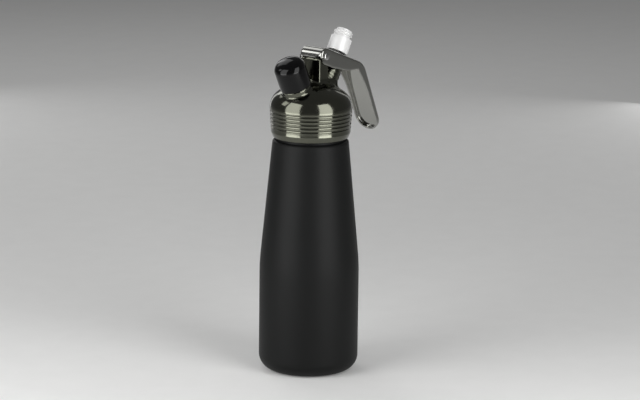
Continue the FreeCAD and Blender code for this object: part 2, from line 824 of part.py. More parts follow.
def make_cap_shell():
    cap_bore = stub_root_radius + cap_ridge + thread_gap
    shelf = stub_height + cap_liner_height + 2 * liner_play
    ceiling = cap_height - cap_top_wall
    outline = [(cap_bore, 0), (cap_radius, 0, cap_rim_round),
               (cap_radius, cap_height - cap_crown, cap_edge_round), (0, cap_height), (0, ceiling),
               (cap_upper_bore, ceiling - cap_crown, cap_bore_round),
               (cap_upper_bore, shelf), (cap_bore, shelf)]
    shell = turned(outline)
    thread = ridge(cap_bore, -cap_ridge, cap_pitch, cap_thread_turns, cap_ridge_base + cap_pitch / 2,
                   cap_ridge_base, cap_ridge_crest)
    return on_inlet(shell.fuse(thread))


def make_cap_liner():
    base = stub_height + liner_play
    outer = stub_root_radius + cap_ridge
    return on_inlet(ring(outer, outer - cap_liner_width, base, base + cap_liner_height))


os.makedirs("parts", exist_ok=True)
save("bottle", make_bottle())
save("head_gasket", make_head_gasket())
save("head_casting", make_head_casting())
save("guide_bush", make_guide_bush())
save("stem_oring", make_stem_oring())
save("return_spring", make_return_spring())
save("piston_stem", make_piston_stem())
save("piston_seal", make_piston_seal())
save("thrust_collar", make_thrust_collar())
save("outlet_adapter", make_outlet_adapter())
save("adapter_seal", make_adapter_seal())
save("lever", make_lever())
save("pivot_pin", make_pivot_pin())
save("inlet_insert", make_inlet_insert())
save("insert_oring", make_insert_oring())
save("piercing_pin", make_piercing_pin())
save("charger_seal", make_charger_seal())
save("check_face", make_check_face())
save("check_poppet", make_check_poppet())
save("check_spring", make_check_spring())
save("check_retainer", make_check_retainer())
save("cap_shell", make_cap_shell())
save("cap_liner", make_cap_liner())
print("stem travel %.3f mm, per radian %.3f mm" % (stem_travel, stem_travel / math.radians(lever_travel)))
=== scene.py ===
import bpy
import bmesh
import math
import numpy as np
from mathutils import Matrix, Vector


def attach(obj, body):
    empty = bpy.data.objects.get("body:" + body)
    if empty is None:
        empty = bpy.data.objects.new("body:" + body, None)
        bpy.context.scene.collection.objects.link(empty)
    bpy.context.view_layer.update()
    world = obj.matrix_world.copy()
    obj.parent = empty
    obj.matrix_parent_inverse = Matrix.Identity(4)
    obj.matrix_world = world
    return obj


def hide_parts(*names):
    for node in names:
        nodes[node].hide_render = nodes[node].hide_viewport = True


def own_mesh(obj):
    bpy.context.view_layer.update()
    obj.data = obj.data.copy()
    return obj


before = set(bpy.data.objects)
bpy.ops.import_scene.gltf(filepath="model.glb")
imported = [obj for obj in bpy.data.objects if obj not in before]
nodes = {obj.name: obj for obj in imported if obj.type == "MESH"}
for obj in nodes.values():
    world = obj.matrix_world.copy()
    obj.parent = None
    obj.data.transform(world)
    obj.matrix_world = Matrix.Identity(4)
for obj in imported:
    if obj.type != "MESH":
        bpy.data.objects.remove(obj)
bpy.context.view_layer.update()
print("frame loaded:", len(nodes), "nodes")

# sizes are in millimetres, apart from the camera's and the studio's, which are in metres
mm = 0.001


# where things sit: the lever's pivot, the sloping outlet and the sloping gas inlet
layout = {
    "pivotX": 5.4,
    "pivotZ": 256.0,
    "leverSlope": 21.0,      # degrees below level
    "outletTilt": 31.0,
    "outletOffset": 23.1,    # pivot to outlet axis
    "inletTilt": 26.5,
    "inletX": -19.9,
    "inletZ": 235.0,
}


def placedAt(x, z, tilt):
    return Matrix.Translation((x, 0, z)) @ Matrix.Rotation(math.radians(tilt), 4, "Y")


def outletPlace():
    tilt = math.radians(layout["outletTilt"])
    x = layout["pivotX"] + layout["outletOffset"] * math.cos(tilt)
    z = layout["pivotZ"] - layout["outletOffset"] * math.sin(tilt)
    return placedAt(x, z, layout["outletTilt"])


upright = Matrix.Identity(4)
onOutlet = outletPlace()
onInlet = placedAt(layout["inletX"], layout["inletZ"], -layout["inletTilt"])
onLever = placedAt(layout["pivotX"], layout["pivotZ"], layout["leverSlope"])


# small tools for meshes

def rounded(corners, steps=6):
    # corners are (across, up) or (across, up, radius)
    count = len(corners)
    line = []
    for i in range(count):
        here = Vector(corners[i][:2])
        radius = corners[i][2] if len(corners[i]) > 2 else 0
        if radius == 0:
            line.append(here)
            continue
        toLast = (Vector(corners[i - 1][:2]) - here).normalized()
        toNext = (Vector(corners[(i + 1) % count][:2]) - here).normalized()
        half = toLast.angle(toNext) / 2
        middle = here + (toLast + toNext).normalized() * (radius / math.sin(half))
        start = here + toLast * (radius / math.tan(half)) - middle
        end = here + toNext * (radius / math.tan(half)) - middle
        first = math.atan2(start.y, start.x)
        sweep = math.remainder(math.atan2(end.y, end.x) - first, 2 * math.pi)
        for k in range(steps + 1):
            angle = first + sweep * k / steps
            line.append(middle + Vector((math.cos(angle), math.sin(angle))) * radius)
    return line


def turnedMesh(bm, corners, segments=96, place=upright, steps=6, closed=True):
    # turns an outline of (radius, height) about the upright axis
    line = rounded(corners, steps)
    rings = []
    for point in line:
        if point.x < 1e-6:
            rings.append([bm.verts.new(place @ Vector((0, 0, point.y)))])
            continue
        ring = []
        for k in range(segments):
            angle = 2 * math.pi * k / segments
            spot = Vector((point.x * math.cos(angle), point.x * math.sin(angle), point.y))
            ring.append(bm.verts.new(place @ spot))
        rings.append(ring)
    pairs = [(i, i + 1) for i in range(len(rings) - 1)]
    if closed:
        pairs.append((len(rings) - 1, 0))
    for i, j in pairs:
        joinRings(bm, rings[i], rings[j])


def joinRings(bm, low, high):
    if len(low) == 1 and len(high) == 1:
        return
    count = max(len(low), len(high))
    for k in range(count):
        after = (k + 1) % count
        if len(low) == 1:
            bm.faces.new((low[0], high[after], high[k]))
        elif len(high) == 1:
            bm.faces.new((low[k], low[after], high[0]))
        else:
            bm.faces.new((low[k], low[after], high[after], high[k]))


def threadMesh(bm, thread, place=upright, perTurn=64, sink=0.3, foot=0.6):
    # a ridge with sloping flanks, which rises out of the cylinder at both ends. its foot is sunk into the
    # wall, and foot is the foot's half width as a share of the base
    side = 1 if thread["height"] > 0 else -1
    steps = int(perTurn * thread["turns"])
    fade = perTurn / 6
    sunk = side * sink
    last = None
    for i in range(steps + 1):
        angle = 2 * math.pi * i / perTurn
        rise = min(1, (i + 1) / fade, (steps + 1 - i) / fade)
        level = thread["start"] + thread["pitch"] * i / perTurn
        root = thread["radius"] - sunk
        crest = thread["radius"] + thread["height"] * rise - sunk * (1 - rise)
        outline = [(root, -thread["base"] * foot), (crest, -thread["crest"] / 2),
                   (crest, thread["crest"] / 2), (root, thread["base"] * foot)]
        ring = [bm.verts.new(place @ Vector((r * math.cos(angle), r * math.sin(angle), level + z)))
                for r, z in outline]
        if last:
            for k in range(4):
                after = (k + 1) % 4
                bm.faces.new((last[k], last[after], ring[after], ring[k]))
        else:
            bm.faces.new(ring)
        last = ring
    bm.faces.new(list(reversed(last)))


def makePiece(name, bm, body, material, stands=(), sharp=32):
    bmesh.ops.recalc_face_normals(bm, faces=bm.faces)
    mesh = bpy.data.meshes.new(name)
    bm.to_mesh(mesh)
    bm.free()
    mesh.transform(Matrix.Scale(mm, 4))
    return dressPiece(name, mesh, body, material, stands, sharp)


def dressPiece(name, mesh, body, material, stands=(), sharp=32):
    mesh.shade_smooth()
    mesh.set_sharp_from_angle(angle=math.radians(sharp))
    mesh.materials.clear()
    mesh.materials.append(material)
    piece = bpy.data.objects.new(name, mesh)
    bpy.context.scene.collection.objects.link(piece)
    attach(piece, body)
    if stands:
        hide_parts(*stands)
    return piece


def withModifiers(mesh, modifiers):
    # a finished copy of the mesh, with the modifiers that are given as (kind, settings)
    helper = bpy.data.objects.new("helper", mesh)
    bpy.context.scene.collection.objects.link(helper)
    for kind, settings in modifiers:
        modifier = helper.modifiers.new(kind, kind)
        for key, value in settings.items():
            setattr(modifier, key, value)
    bpy.context.view_layer.update()
    graph = bpy.context.evaluated_depsgraph_get()
    result = bpy.data.meshes.new_from_object(helper.evaluated_get(graph))
    bpy.data.objects.remove(helper)
    return result


# small tools for materials

def newMaterial(name, colour, metal, rough, specular):
    material = bpy.data.materials.new(name)
    material.use_nodes = True
    shader = material.node_tree.nodes["Principled BSDF"]
    shader.inputs["Base Color"].default_value = (*colour, 1)
    shader.inputs["Metallic"].default_value = metal
    shader.inputs["Roughness"].default_value = rough
    shader.inputs["Specular IOR Level"].default_value = specular
    return material, material.node_tree, shader


def addNode(tree, kind, **values):
    node = tree.nodes.new(kind)
    for key, value in values.items():
        if key in node.inputs:
            node.inputs[key].default_value = value
        else:
            setattr(node, key, value)
    return node


def grain(tree, scale, detail):
    # noise that is fixed to the object, in grains per metre
    place = addNode(tree, "ShaderNodeTexCoord")
    noise = addNode(tree, "ShaderNodeTexNoise", Scale=scale, Detail=detail)
    tree.links.new(place.outputs["Object"], noise.inputs["Vector"])
    return noise.outputs["Fac"]


def spread(tree, source, low, high, start=0.3, end=0.7):
    node = addNode(tree, "ShaderNodeMapRange")
    node.inputs["From Min"].default_value = start
    node.inputs["From Max"].default_value = end
    node.inputs["To Min"].default_value = low
    node.inputs["To Max"].default_value = high
    tree.links.new(source, node.inputs["Value"])
    return node.outputs["Result"]


def shades(tree, source, dark, light, start=0.3, end=0.7):
    node = addNode(tree, "ShaderNodeValToRGB")
    node.color_ramp.elements[0].position = start
    node.color_ramp.elements[0].color = (*dark, 1)
    node.color_ramp.elements[1].position = end
    node.color_ramp.elements[1].color = (*light, 1)
    tree.links.new(source, node.inputs["Fac"])
    return node.outputs["Color"]


def bumpFrom(tree, shader, source, depth, strength):
    node = addNode(tree, "ShaderNodeBump", Strength=strength, Distance=depth)
    tree.links.new(source, node.inputs["Height"])
    tree.links.new(node.outputs["Normal"], shader.inputs["Normal"])


def blendOf(colour, factor):
    return tuple(min(1.0, c * factor) for c in colour)


def surface(name, look):
    # one finish: its colour drifts a little, its gloss varies with a fine grain, and the grain stands up
    colour = look["colour"]
    shine = look.get("specular", 0.5)
    material, tree, shader = newMaterial(name, colour, look["metal"], look["rough"], shine)
    coarse = grain(tree, scale=40, detail=3.0)
    drift = look.get("drift", 0.08)
    tree.links.new(shades(tree, coarse, blendOf(colour, 1 - drift), blendOf(colour, 1 + drift)),
                   shader.inputs["Base Color"])
    fine = grain(tree, scale=look["grain"], detail=5.0)
    vary = look.get("vary", 0.15)
    tree.links.new(spread(tree, fine, look["rough"] * (1 - vary), look["rough"] * (1 + vary)),
                   shader.inputs["Roughness"])
    bumpFrom(tree, shader, fine, look["relief"] * mm, look.get("bump", 0.5))
    if "sheen" in look:
        shader.inputs["Sheen Weight"].default_value = look["sheen"]
        shader.inputs["Sheen Roughness"].default_value = 0.5
    return material


finishes = {
    "bottleCoat": {"colour": (0.0052, 0.0055, 0.0054), "metal": 0, "rough": 0.5, "specular": 0.15,
                   "grain": 2600, "relief": 0.03, "bump": 0.3, "drift": 0.06},
    "headPlating": {"colour": (0.115, 0.117, 0.094), "metal": 1, "rough": 0.12, "grain": 350,
                    "relief": 0.004, "bump": 0.25, "drift": 0.08, "vary": 0.25},
    "capPlastic": {"colour": (0.002, 0.002, 0.0021), "metal": 0, "rough": 0.09, "specular": 0.22,
                   "grain": 500, "relief": 0.004, "bump": 0.3, "vary": 0.3},
    "leverChrome": {"colour": (0.37, 0.37, 0.35), "metal": 1, "rough": 0.1, "grain": 300,
                    "relief": 0.003, "bump": 0.3, "vary": 0.3, "drift": 0.03},
    "adapterAluminium": {"colour": (0.78, 0.78, 0.775), "metal": 0.2, "rough": 0.42, "grain": 2500,
                         "relief": 0.01, "bump": 0.4, "drift": 0.03},
    "stainless": {"colour": (0.55, 0.55, 0.54), "metal": 1, "rough": 0.22, "grain": 1500,
                  "relief": 0.006, "drift": 0.04},
    "rivetSteel": {"colour": (0.5, 0.5, 0.49), "metal": 1, "rough": 0.1, "grain": 900, "relief": 0.002,
                   "drift": 0.03},
    "springSteel": {"colour": (0.46, 0.46, 0.46), "metal": 1, "rough": 0.25, "grain": 1200, "relief": 0.01},
    "insertBrass": {"colour": (0.68, 0.49, 0.22), "metal": 1, "rough": 0.27, "grain": 1500, "relief": 0.008},
    "bushPlastic": {"colour": (0.78, 0.78, 0.74), "metal": 0, "rough": 0.4, "grain": 900, "relief": 0.01},
    "silicone": {"colour": (0.55, 0.045, 0.035), "metal": 0, "rough": 0.45, "grain": 700, "relief": 0.015,
                 "sheen": 0.2},
    "blackRubber": {"colour": (0.016, 0.016, 0.016), "metal": 0, "rough": 0.6, "grain": 900, "relief": 0.02,
                    "sheen": 0.15},
    "linerFoam": {"colour": (0.72, 0.72, 0.69), "metal": 0, "rough": 0.75, "grain": 2200, "relief": 0.05},
}
finish = {name: surface(name, look) for name, look in finishes.items()}
print("finishes:", len(finish))


# camera and studio

cameraSetup = {
    "azimuth": 51.0,      # degrees, the heading of the view from +Y towards +X
    "reach": 2.6,         # m, on the floor, to the dispenser's axis
    "height": 0.719,
    "pitch": 12.583,      # degrees below level
    "yaw": 0.178,
    "roll": 0.71,
    "lens": 186.79,
    "sensor": 36.0,
}


def makeCamera():
    setup = cameraSetup
    heading = math.radians(setup["azimuth"])
    ahead = Vector((math.sin(heading), math.cos(heading), 0))
    right = Vector((math.cos(heading), -math.sin(heading), 0))
    place = -ahead * setup["reach"] + Vector((0, 0, setup["height"]))
    yaw = math.radians(setup["yaw"])
    level = ahead * math.cos(yaw) + right * math.sin(yaw)
    right = right * math.cos(yaw) - ahead * math.sin(yaw)
    pitch = math.radians(setup["pitch"])
    look = level * math.cos(pitch) - Vector((0, 0, 1)) * math.sin(pitch)
    up = level * math.sin(pitch) + Vector((0, 0, 1)) * math.cos(pitch)
    roll = math.radians(setup["roll"])
    axisX = right * math.cos(roll) + up * math.sin(roll)
    axisY = up * math.cos(roll) - right * math.sin(roll)
    turn = Matrix((axisX, axisY, -look)).transposed()
    data = bpy.data.cameras.new("camera")
    data.lens = setup["lens"]
    data.sensor_width = setup["sensor"]
    data.clip_end = 50
    camera = bpy.data.objects.new("camera", data)
    camera.matrix_world = Matrix.Translation(place) @ turn.to_4x4()
    bpy.context.scene.collection.objects.link(camera)
    bpy.context.scene.camera = camera


# two tall soft boxes stand close to the dispenser, left and right of the camera's line of sight, and a
# low box stands at the foot of each
studio = {
    # name, bearing from the camera's side in degrees, distance, lowest point, width, height, brightness
    "boxes": (("softBoxLeft", -52, 0.62, 0.01, 0.48, 0.86, 3.0),
              ("softBoxRight", 42, 0.62, 0.01, 0.42, 0.86, 3.5),
              ("rimLeft", -155, 1.2, 0.01, 0.2, 1.1, 1.2),
              ("rimRight", 158, 1.2, 0.01, 0.2, 0.9, 1.0),
              ("backPanel", 186, 1.6, 0.75, 1.3, 0.3, 1.2),
              ("topPanel", -146, 1.2, 0.95, 0.8, 1.0, 1.3),
              ("sidePanel", -89, 1.0, 0.62, 0.3, 0.4, 2.4),
              ("lowLeft", -52, 0.6, 0.01, 0.48, 0.13, 2.3),
              ("lowRight", 42, 0.6, 0.01, 0.42, 0.13, 2.5)),
    "highestAim": 0.43,
    "world": 0.14,
    "floorHalf": 6,
    "floorColour": (0.8, 0.8, 0.79),
    "floorLift": 0.05,
}


def makeSoftBox(name, bearing, reach, low, width, height, radiance):
    toCamera = math.radians(cameraSetup["azimuth"] + 180)
    heading = toCamera - math.radians(bearing)
    place = Vector((math.sin(heading) * reach, math.cos(heading) * reach, low + height / 2))
    data = bpy.data.lights.new(name, "AREA")
    data.shape = "RECTANGLE"
    data.size = width
    data.size_y = height
    data.energy = radiance * math.pi * width * height
    lamp = bpy.data.objects.new(name, data)
    aim = Vector((0, 0, min(place.z, studio["highestAim"]))) - place
    lamp.location = place
    lamp.rotation_euler = aim.to_track_quat("-Z", "Y").to_euler()
    lamp.visible_camera = False
    bpy.context.scene.collection.objects.link(lamp)


def liftPaper(material, lift):
    # the floor looks a little paler, seen straight or in metal, than the light on it makes it
    tree = material.node_tree
    path = addNode(tree, "ShaderNodeLightPath")
    seen = path.outputs["Is Camera Ray"]
    for kind in ("Is Glossy Ray", "Is Transmission Ray"):
        either = addNode(tree, "ShaderNodeMath", operation="MAXIMUM")
        tree.links.new(seen, either.inputs[0])
        tree.links.new(path.outputs[kind], either.inputs[1])
        seen = either.outputs[0]
    shader = tree.nodes["Principled BSDF"]
    shader.inputs["Emission Color"].default_value = (1, 1, 1, 1)
    tree.links.new(spread(tree, seen, 0, lift, 0, 1), shader.inputs["Emission Strength"])


def makeStudio():
    for box in studio["boxes"]:
        makeSoftBox(*box)
    world = bpy.data.worlds.new("studio")
    world.use_nodes = True
    level = studio["world"]
    world.node_tree.nodes["Background"].inputs["Color"].default_value = (level, level, level, 1)
    bpy.context.scene.world = world
    bpy.context.scene.view_settings.view_transform = "Standard"
    bm = bmesh.new()
    bmesh.ops.create_grid(bm, x_segments=1, y_segments=1, size=studio["floorHalf"])
    mesh = bpy.data.meshes.new("studioFloor")
    bm.to_mesh(mesh)
    bm.free()
    floor = bpy.data.objects.new("studioFloor", mesh)
    paper = surface("floorPaper", {"colour": studio["floorColour"], "metal": 0, "rough": 0.7, "grain": 300,
                                   "relief": 0.02, "drift": 0.01, "specular": 0.2})
    liftPaper(paper, studio["floorLift"])
    floor.data.materials.append(paper)
    bpy.context.scene.collection.objects.link(floor)


makeCamera()
makeStudio()
print("camera and studio ready")


# bottle: a tapered can with a rounded foot, a small shoulder and a threaded neck

bottle = {
    "radius": 40.0, "foot": 12.0, "taperStart": 88.0, "taperBlend": 190.0,
    "shoulder": 188.6, "shoulderRadius": 30.46, "shoulderRound": 2.6, "wall": 1.6, "floor": 3.0,
    "neck": 27.4, "neckBore": 25.0, "neckTop": 210.0, "lipRound": 0.5,
    "thread": {"radius": 27.4, "height": 1.1, "pitch": 3.5, "turns": 4.0, "start": 191.8, "base": 1.7,
               "crest": 0.9},
}


def makeBottle():
    b = bottle
    inner = b["radius"] - b["wall"]
    innerTop = b["shoulder"] - b["wall"]
    outline = [(0, 0), (b["radius"], 0, b["foot"]), (b["radius"], b["taperStart"], b["taperBlend"]),
               (b["shoulderRadius"], b["shoulder"], b["shoulderRound"]), (b["neck"], b["shoulder"]),
               (b["neck"], b["neckTop"], b["lipRound"]), (b["neckBore"], b["neckTop"], b["lipRound"]),
               (b["neckBore"], innerTop), (b["shoulderRadius"] - b["wall"], innerTop, 2.0),
               (inner, b["taperStart"], b["taperBlend"]), (inner, b["floor"], b["foot"] - b["wall"]),
               (0, b["floor"])]
    bm = bmesh.new()
    turnedMesh(bm, outline, 160, steps=12)
    threadMesh(bm, b["thread"])
    makePiece("bottleBody", bm, "bottle", finish["bottleCoat"], ["bottle"])


makeBottle()
print("bottle made")


# head: a grooved skirt, and above it one smooth casting of dome, tower, outlet boss and inlet port

head = {
    "skirtBottom": 191.0, "skirtEdge": 30.3, "bandBottom": 195.2, "bandTop": 198.2, "band": 32.0,
    "bandRound": 2.0, "dome": 33.1, "domeBase": 214.5, "domeHeight": 21.0, "domeSide": 15.0,
    "grooves": 5, "groovePitch": 3.05, "grooveWidth": 1.5, "grooveDepth": 0.55, "grooveLip": 0.18,
    "grooveRoot": 0.2, "socket": 28.85, "socketTop": 212.5, "cavity": 25.0, "overlap": 0.6,
    "towerHalf": 9.45, "towerFront": -1.5, "towerBack": 9.5, "towerTop": 4.7, "towerRound": 0.8,
    "towerStep": 1.8, "towerFoot": 222, "towerInBoss": 2.0, "crestLength": 7.2, "webHalf": 4.5, "webBack": 99,
    "boss": 9.1, "bossTop": 0.8, "bossFoot": -22, "bossGrooves": 3, "bossGroovePitch": 3.3,
    "bossGrooveWidth": 1.3, "bossGrooveDepth": 0.5, "bossGrooveRound": 0.15, "bossGrooveFirst": 2.7,
    "recess": 7.2, "port": 11.9, "portTop": -0.4, "portRoot": -9.0, "portRound": 0.5, "portFillet": 1.0,
    "stub": 9.0, "stubTop": 13.5, "stubBore": 5.0, "stubFoot": -3,
    "voxel": 0.75, "fillet": 5.5, "roughBelow": 2.5,
    "socketThread": {"radius": 28.85, "height": -1.1, "pitch": 3.5, "turns": 3.5, "start": 193.55,
                     "base": 1.7, "crest": 0.9},
    "stubThread": {"radius": 9.0, "height": 0.9, "pitch": 2.5, "turns": 4.0, "start": 1.2,
                   "base": 1.2, "crest": 0.6},
}


def makeSkirt():
    h = head
    outline = [(h["socket"], h["skirtBottom"], 0.3), (h["skirtEdge"], h["skirtBottom"], 0.3),
               (h["band"], h["bandBottom"], h["bandRound"]), (h["band"], h["bandTop"])]
    swell = (h["dome"] - h["band"]) / (h["domeBase"] - h["bandTop"])
    half = h["grooveWidth"] / 2
    for i in range(h["grooves"]):
        middle = h["bandTop"] + h["grooveWidth"] + i * h["groovePitch"]
        radius = h["band"] + swell * (middle - h["bandTop"])
        outline.append((radius, middle - half, h["grooveLip"]))
        outline.append((radius - h["grooveDepth"], middle - half / 2, h["grooveRoot"]))
        outline.append((radius - h["grooveDepth"], middle + half / 2, h["grooveRoot"]))
        outline.append((radius, middle + half, h["grooveLip"]))
    outline.append((h["dome"], h["domeBase"]))
    outline.append((h["dome"] - 0.02, h["domeBase"] + h["overlap"]))
    outline.append((h["cavity"], h["domeBase"] + h["overlap"]))
    outline.append((h["cavity"], h["socketTop"]))
    outline.append((h["socket"], h["socketTop"]))
    bm = bmesh.new()
    turnedMesh(bm, outline, 160, steps=4)
    threadMesh(bm, h["socketThread"])
    makePiece("headSkirt", bm, "head", finish["headPlating"], ["head_casting"], 28)


def domeDistance(p):
    # signed distance to the dome: straight below its base, then a side arc that runs into a flatter crown
    h = head
    offset = h["dome"] - h["domeSide"]
    above = h["domeHeight"] - h["domeSide"]
    crown = (offset ** 2 + h["domeHeight"] ** 2 - h["domeSide"] ** 2) / (2 * above)
    across = np.hypot(p[:, 0], p[:, 1])
    up = p[:, 2] - h["domeBase"]
    crownUp = h["domeHeight"] - crown
    onCrown = across * (0 - crownUp) < offset * (up - crownUp)
    side = np.hypot(across - offset, np.maximum(up, 0)) - h["domeSide"]
    side = np.where(up < 0, across - h["dome"], side)
    return np.where(onCrown, np.hypot(across, up - crownUp) - crown, side)


def towerCorners():
    # outline of tower and web from the side, up to inside the boss
    h = head
    tilt = math.radians(layout["outletTilt"])
    px, pz = layout["pivotX"], layout["pivotZ"]
    foot = h["towerFoot"]
    reach = layout["outletOffset"] - h["boss"] + h["towerInBoss"]
    crest = (px + h["towerTop"] * math.sin(tilt), pz + h["towerTop"] * math.cos(tilt))
    crestEnd = (crest[0] + h["crestLength"] * math.cos(tilt), crest[1] - h["crestLength"] * math.sin(tilt))
    joint = (px + reach * math.cos(tilt), pz - reach * math.sin(tilt))
    step = pz - h["towerStep"]
    return [(h["towerFront"], foot), (joint[0], foot), joint, crestEnd, crest, (px, pz + h["towerTop"]),
            (px - h["towerTop"], pz), (px - h["towerTop"], step), (h["towerFront"], step)]


def outlineDistance(corners, x, z):
    # signed distance to a closed outline in the plane of symmetry
    best = np.full(x.shape, 1e9)
    inside = np.zeros(x.shape, bool)
    for i, (ax, az) in enumerate(corners):
        bx, bz = corners[i - 1]
        ex, ez = bx - ax, bz - az
        t = np.clip(((x - ax) * ex + (z - az) * ez) / (ex * ex + ez * ez), 0, 1)
        best = np.minimum(best, np.hypot(x - ax - t * ex, z - az - t * ez))
        crosses = (az > z) != (bz > z)
        slope = np.where(crosses, (bx - ax) * (z - az) / (bz - az if bz != az else 1e-9) + ax, 0)
        inside ^= crosses & (x < slope)
    return np.where(inside, -best, best)


def roundedMeet(a, b, radius):
    # where two half spaces meet in a rounded edge
    outside = np.hypot(np.maximum(a + radius, 0), np.maximum(b + radius, 0))
    return outside + np.minimum(np.maximum(a, b), -radius)


def smoothJoin(a, b, fillet):
    mix = np.clip(0.5 + 0.5 * (b - a) / fillet, 0, 1)
    return b * (1 - mix) + a * mix - fillet * mix * (1 - mix)


def towerDistance(p):
    h = head
    flat = outlineDistance(towerCorners(), p[:, 0], p[:, 2])
    side = np.abs(p[:, 1])
    slab = roundedMeet(flat, p[:, 0] - h["towerBack"], h["towerRound"] * 0.5)
    slab = roundedMeet(slab, side - h["towerHalf"], h["towerRound"])
    web = roundedMeet(flat, side - h["webHalf"], h["towerRound"])
    return smoothJoin(slab, web, h["fillet"] * 0.5)


def axisDistance(p, place):
    local = np.c_[p, np.ones(len(p))] @ np.array(place.inverted()).T
    return np.hypot(local[:, 0], local[:, 1]), local[:, 2]


def groovedEnd():
    # where the boss's grooved stretch ends along the outlet, a little past the last groove
    h = head
    return -h["bossGrooveFirst"] - (h["bossGrooves"] - 1) * h["bossGroovePitch"] - h["bossGrooveWidth"]


def castingDistance(p):
    h = head
    across, up = axisDistance(p, onInlet)
    ends = np.maximum(up - h["portTop"], h["portRoot"] - up)
    port = roundedMeet(across - h["port"], ends, h["portRound"])
    across, up = axisDistance(p, onOutlet)
    boss = np.maximum(across - h["boss"], np.maximum(up - groovedEnd(), h["bossFoot"] - up))
    shape = smoothJoin(domeDistance(p), port, h["portFillet"])
    shape = smoothJoin(shape, boss, h["fillet"])
    return smoothJoin(shape, towerDistance(p), h["fillet"] * 0.7)


def ontoSurface(points, distance, rounds=6, step=0.02, longest=1.5, flattest=0.05):
    # moves points to where the distance is zero, and takes about longest off it in a round at most
    for _ in range(rounds):
        value = distance(points)
        slope = np.stack([(distance(points + e) - distance(points - e)) / (2 * step)
                          for e in np.eye(3) * step], 1)
        size = np.maximum((slope ** 2).sum(1), flattest)
        points = points - slope * (np.clip(value, -longest, longest) / size)[:, None]
    return points


def makeCasting():
    # rough blocks are melted into one skin, whose points then move onto the smooth surface
    h = head
    rough = bmesh.new()
    base = h["domeBase"]
    top = h["domeBase"] + h["domeHeight"]
    dome = [(0, base - 4), (h["dome"] + 0.3, base - 4), (h["dome"] + 0.3, base + 4, 3), (20, top - 2, 10),
            (0, top + 1)]
    boss = [(0, h["bossFoot"]), (h["boss"] + 1, h["bossFoot"]), (h["boss"], -10), (0, -10)]
    port = [(0, -14), (h["port"] + 1, -14), (h["port"], h["portTop"]), (0, h["portTop"])]
    turnedMesh(rough, dome, 72)
    turnedMesh(rough, boss, 48, onOutlet)
    turnedMesh(rough, port, 48, onInlet)
    for half, back in ((h["towerHalf"], h["towerBack"]), (h["webHalf"] + 0.5, h["webBack"])):
        sides = []
        for y in (-half, half):
            sides.append([rough.verts.new((min(x, back), y, z)) for x, z in towerCorners()])
        joinRings(rough, *sides)
        rough.faces.new(sides[0])
        rough.faces.new(list(reversed(sides[1])))
    bmesh.ops.recalc_face_normals(rough, faces=rough.faces)
    mesh = bpy.data.meshes.new("castingRough")
    rough.to_mesh(mesh)
    rough.free()
    mesh = withModifiers(mesh, [("REMESH", {"mode": "VOXEL", "voxel_size": h["voxel"]}),
                                ("SMOOTH", {"factor": 0.5, "iterations": 3})])
    points = np.empty(len(mesh.vertices) * 3)
    mesh.vertices.foreach_get("co", points)
    points = points.reshape(-1, 3)
    # points well below the dome's base stay where they are, since the cut at its base takes them off
    low = points[:, 2] < h["domeBase"] - h["roughBelow"]
    moved = ontoSurface(points, castingDistance)
    points = np.where(low[:, None], points, moved)
    mesh.vertices.foreach_set("co", points.ravel())
    mesh.update()
    bm = bmesh.new()
    bm.from_mesh(mesh)
    everything = list(bm.verts) + list(bm.edges) + list(bm.faces)
    bmesh.ops.bisect_plane(bm, geom=everything, plane_co=(0, 0, h["domeBase"]), plane_no=(0, 0, 1),
                           clear_inner=True)
    makePiece("headCasting", bm, "head", finish["headPlating"], (), 50)
    print("casting points:", len(points))


def makeBoss():
    h = head
    end = groovedEnd()
    outline = [(h["recess"], h["bossTop"], 0.2), (h["boss"], h["bossTop"], 0.6)]
    half = h["bossGrooveWidth"] / 2
    for i in range(h["bossGrooves"]):
        middle = -h["bossGrooveFirst"] - i * h["bossGroovePitch"]
        outline.append((h["boss"], middle + half, h["bossGrooveRound"]))
        outline.append((h["boss"] - h["bossGrooveDepth"], middle + half / 2, h["bossGrooveRound"]))
        outline.append((h["boss"] - h["bossGrooveDepth"], middle - half / 2, h["bossGrooveRound"]))
        outline.append((h["boss"], middle - half, h["bossGrooveRound"]))
    outline.append((h["boss"] + 0.01, end - h["overlap"]))
    outline.append((h["recess"], end - h["overlap"]))
    bm = bmesh.new()
    turnedMesh(bm, outline, 96, onOutlet, 4)
    makePiece("outletBoss", bm, "head", finish["headPlating"], (), 28)


def makeStub():
    h = head
    outline = [(h["stubBore"], h["stubTop"], 0.4), (h["stub"], h["stubTop"], 0.8), (h["stub"], h["stubFoot"]),
               (h["stubBore"], h["stubFoot"])]
    bm = bmesh.new()
    turnedMesh(bm, outline, 96, onInlet)
    threadMesh(bm, h["stubThread"], onInlet)
    makePiece("inletStub", bm, "head", finish["headPlating"], (), 28)


makeSkirt()
makeCasting()
makeBoss()
makeStub()
print("head made")


# cap over the gas inlet

cap = {
    "radius": 12.6, "height": 23.6, "topHeight": 7.5, "edge": 6.2, "rim": 0.4, "bore": 10.25,
    "shelf": 14.6, "upperBore": 8.5, "ceiling": 21.0,
    "thread": {"radius": 10.25, "height": -0.9, "pitch": 2.5, "turns": 3.5, "start": 2.45,
               "base": 1.2, "crest": 0.6},
}


def roundTop(radius, start, height, edge, steps=12):
    # a side arc that runs into a flatter arc over the axis
    offset = radius - edge
    crown = (offset ** 2 + height ** 2 - edge ** 2) / (2 * (height - edge))
    meet = math.atan2(crown - height, offset)
    line = []
    for i in range(steps + 1):
        angle = meet * i / steps
        line.append((offset + edge * math.cos(angle), start + edge * math.sin(angle)))
    for i in range(1, steps + 1):
        angle = meet + (math.pi / 2 - meet) * i / steps
        line.append((crown * math.cos(angle), start + height - crown + crown * math.sin(angle)))
    line[-1] = (0, start + height)
    return line


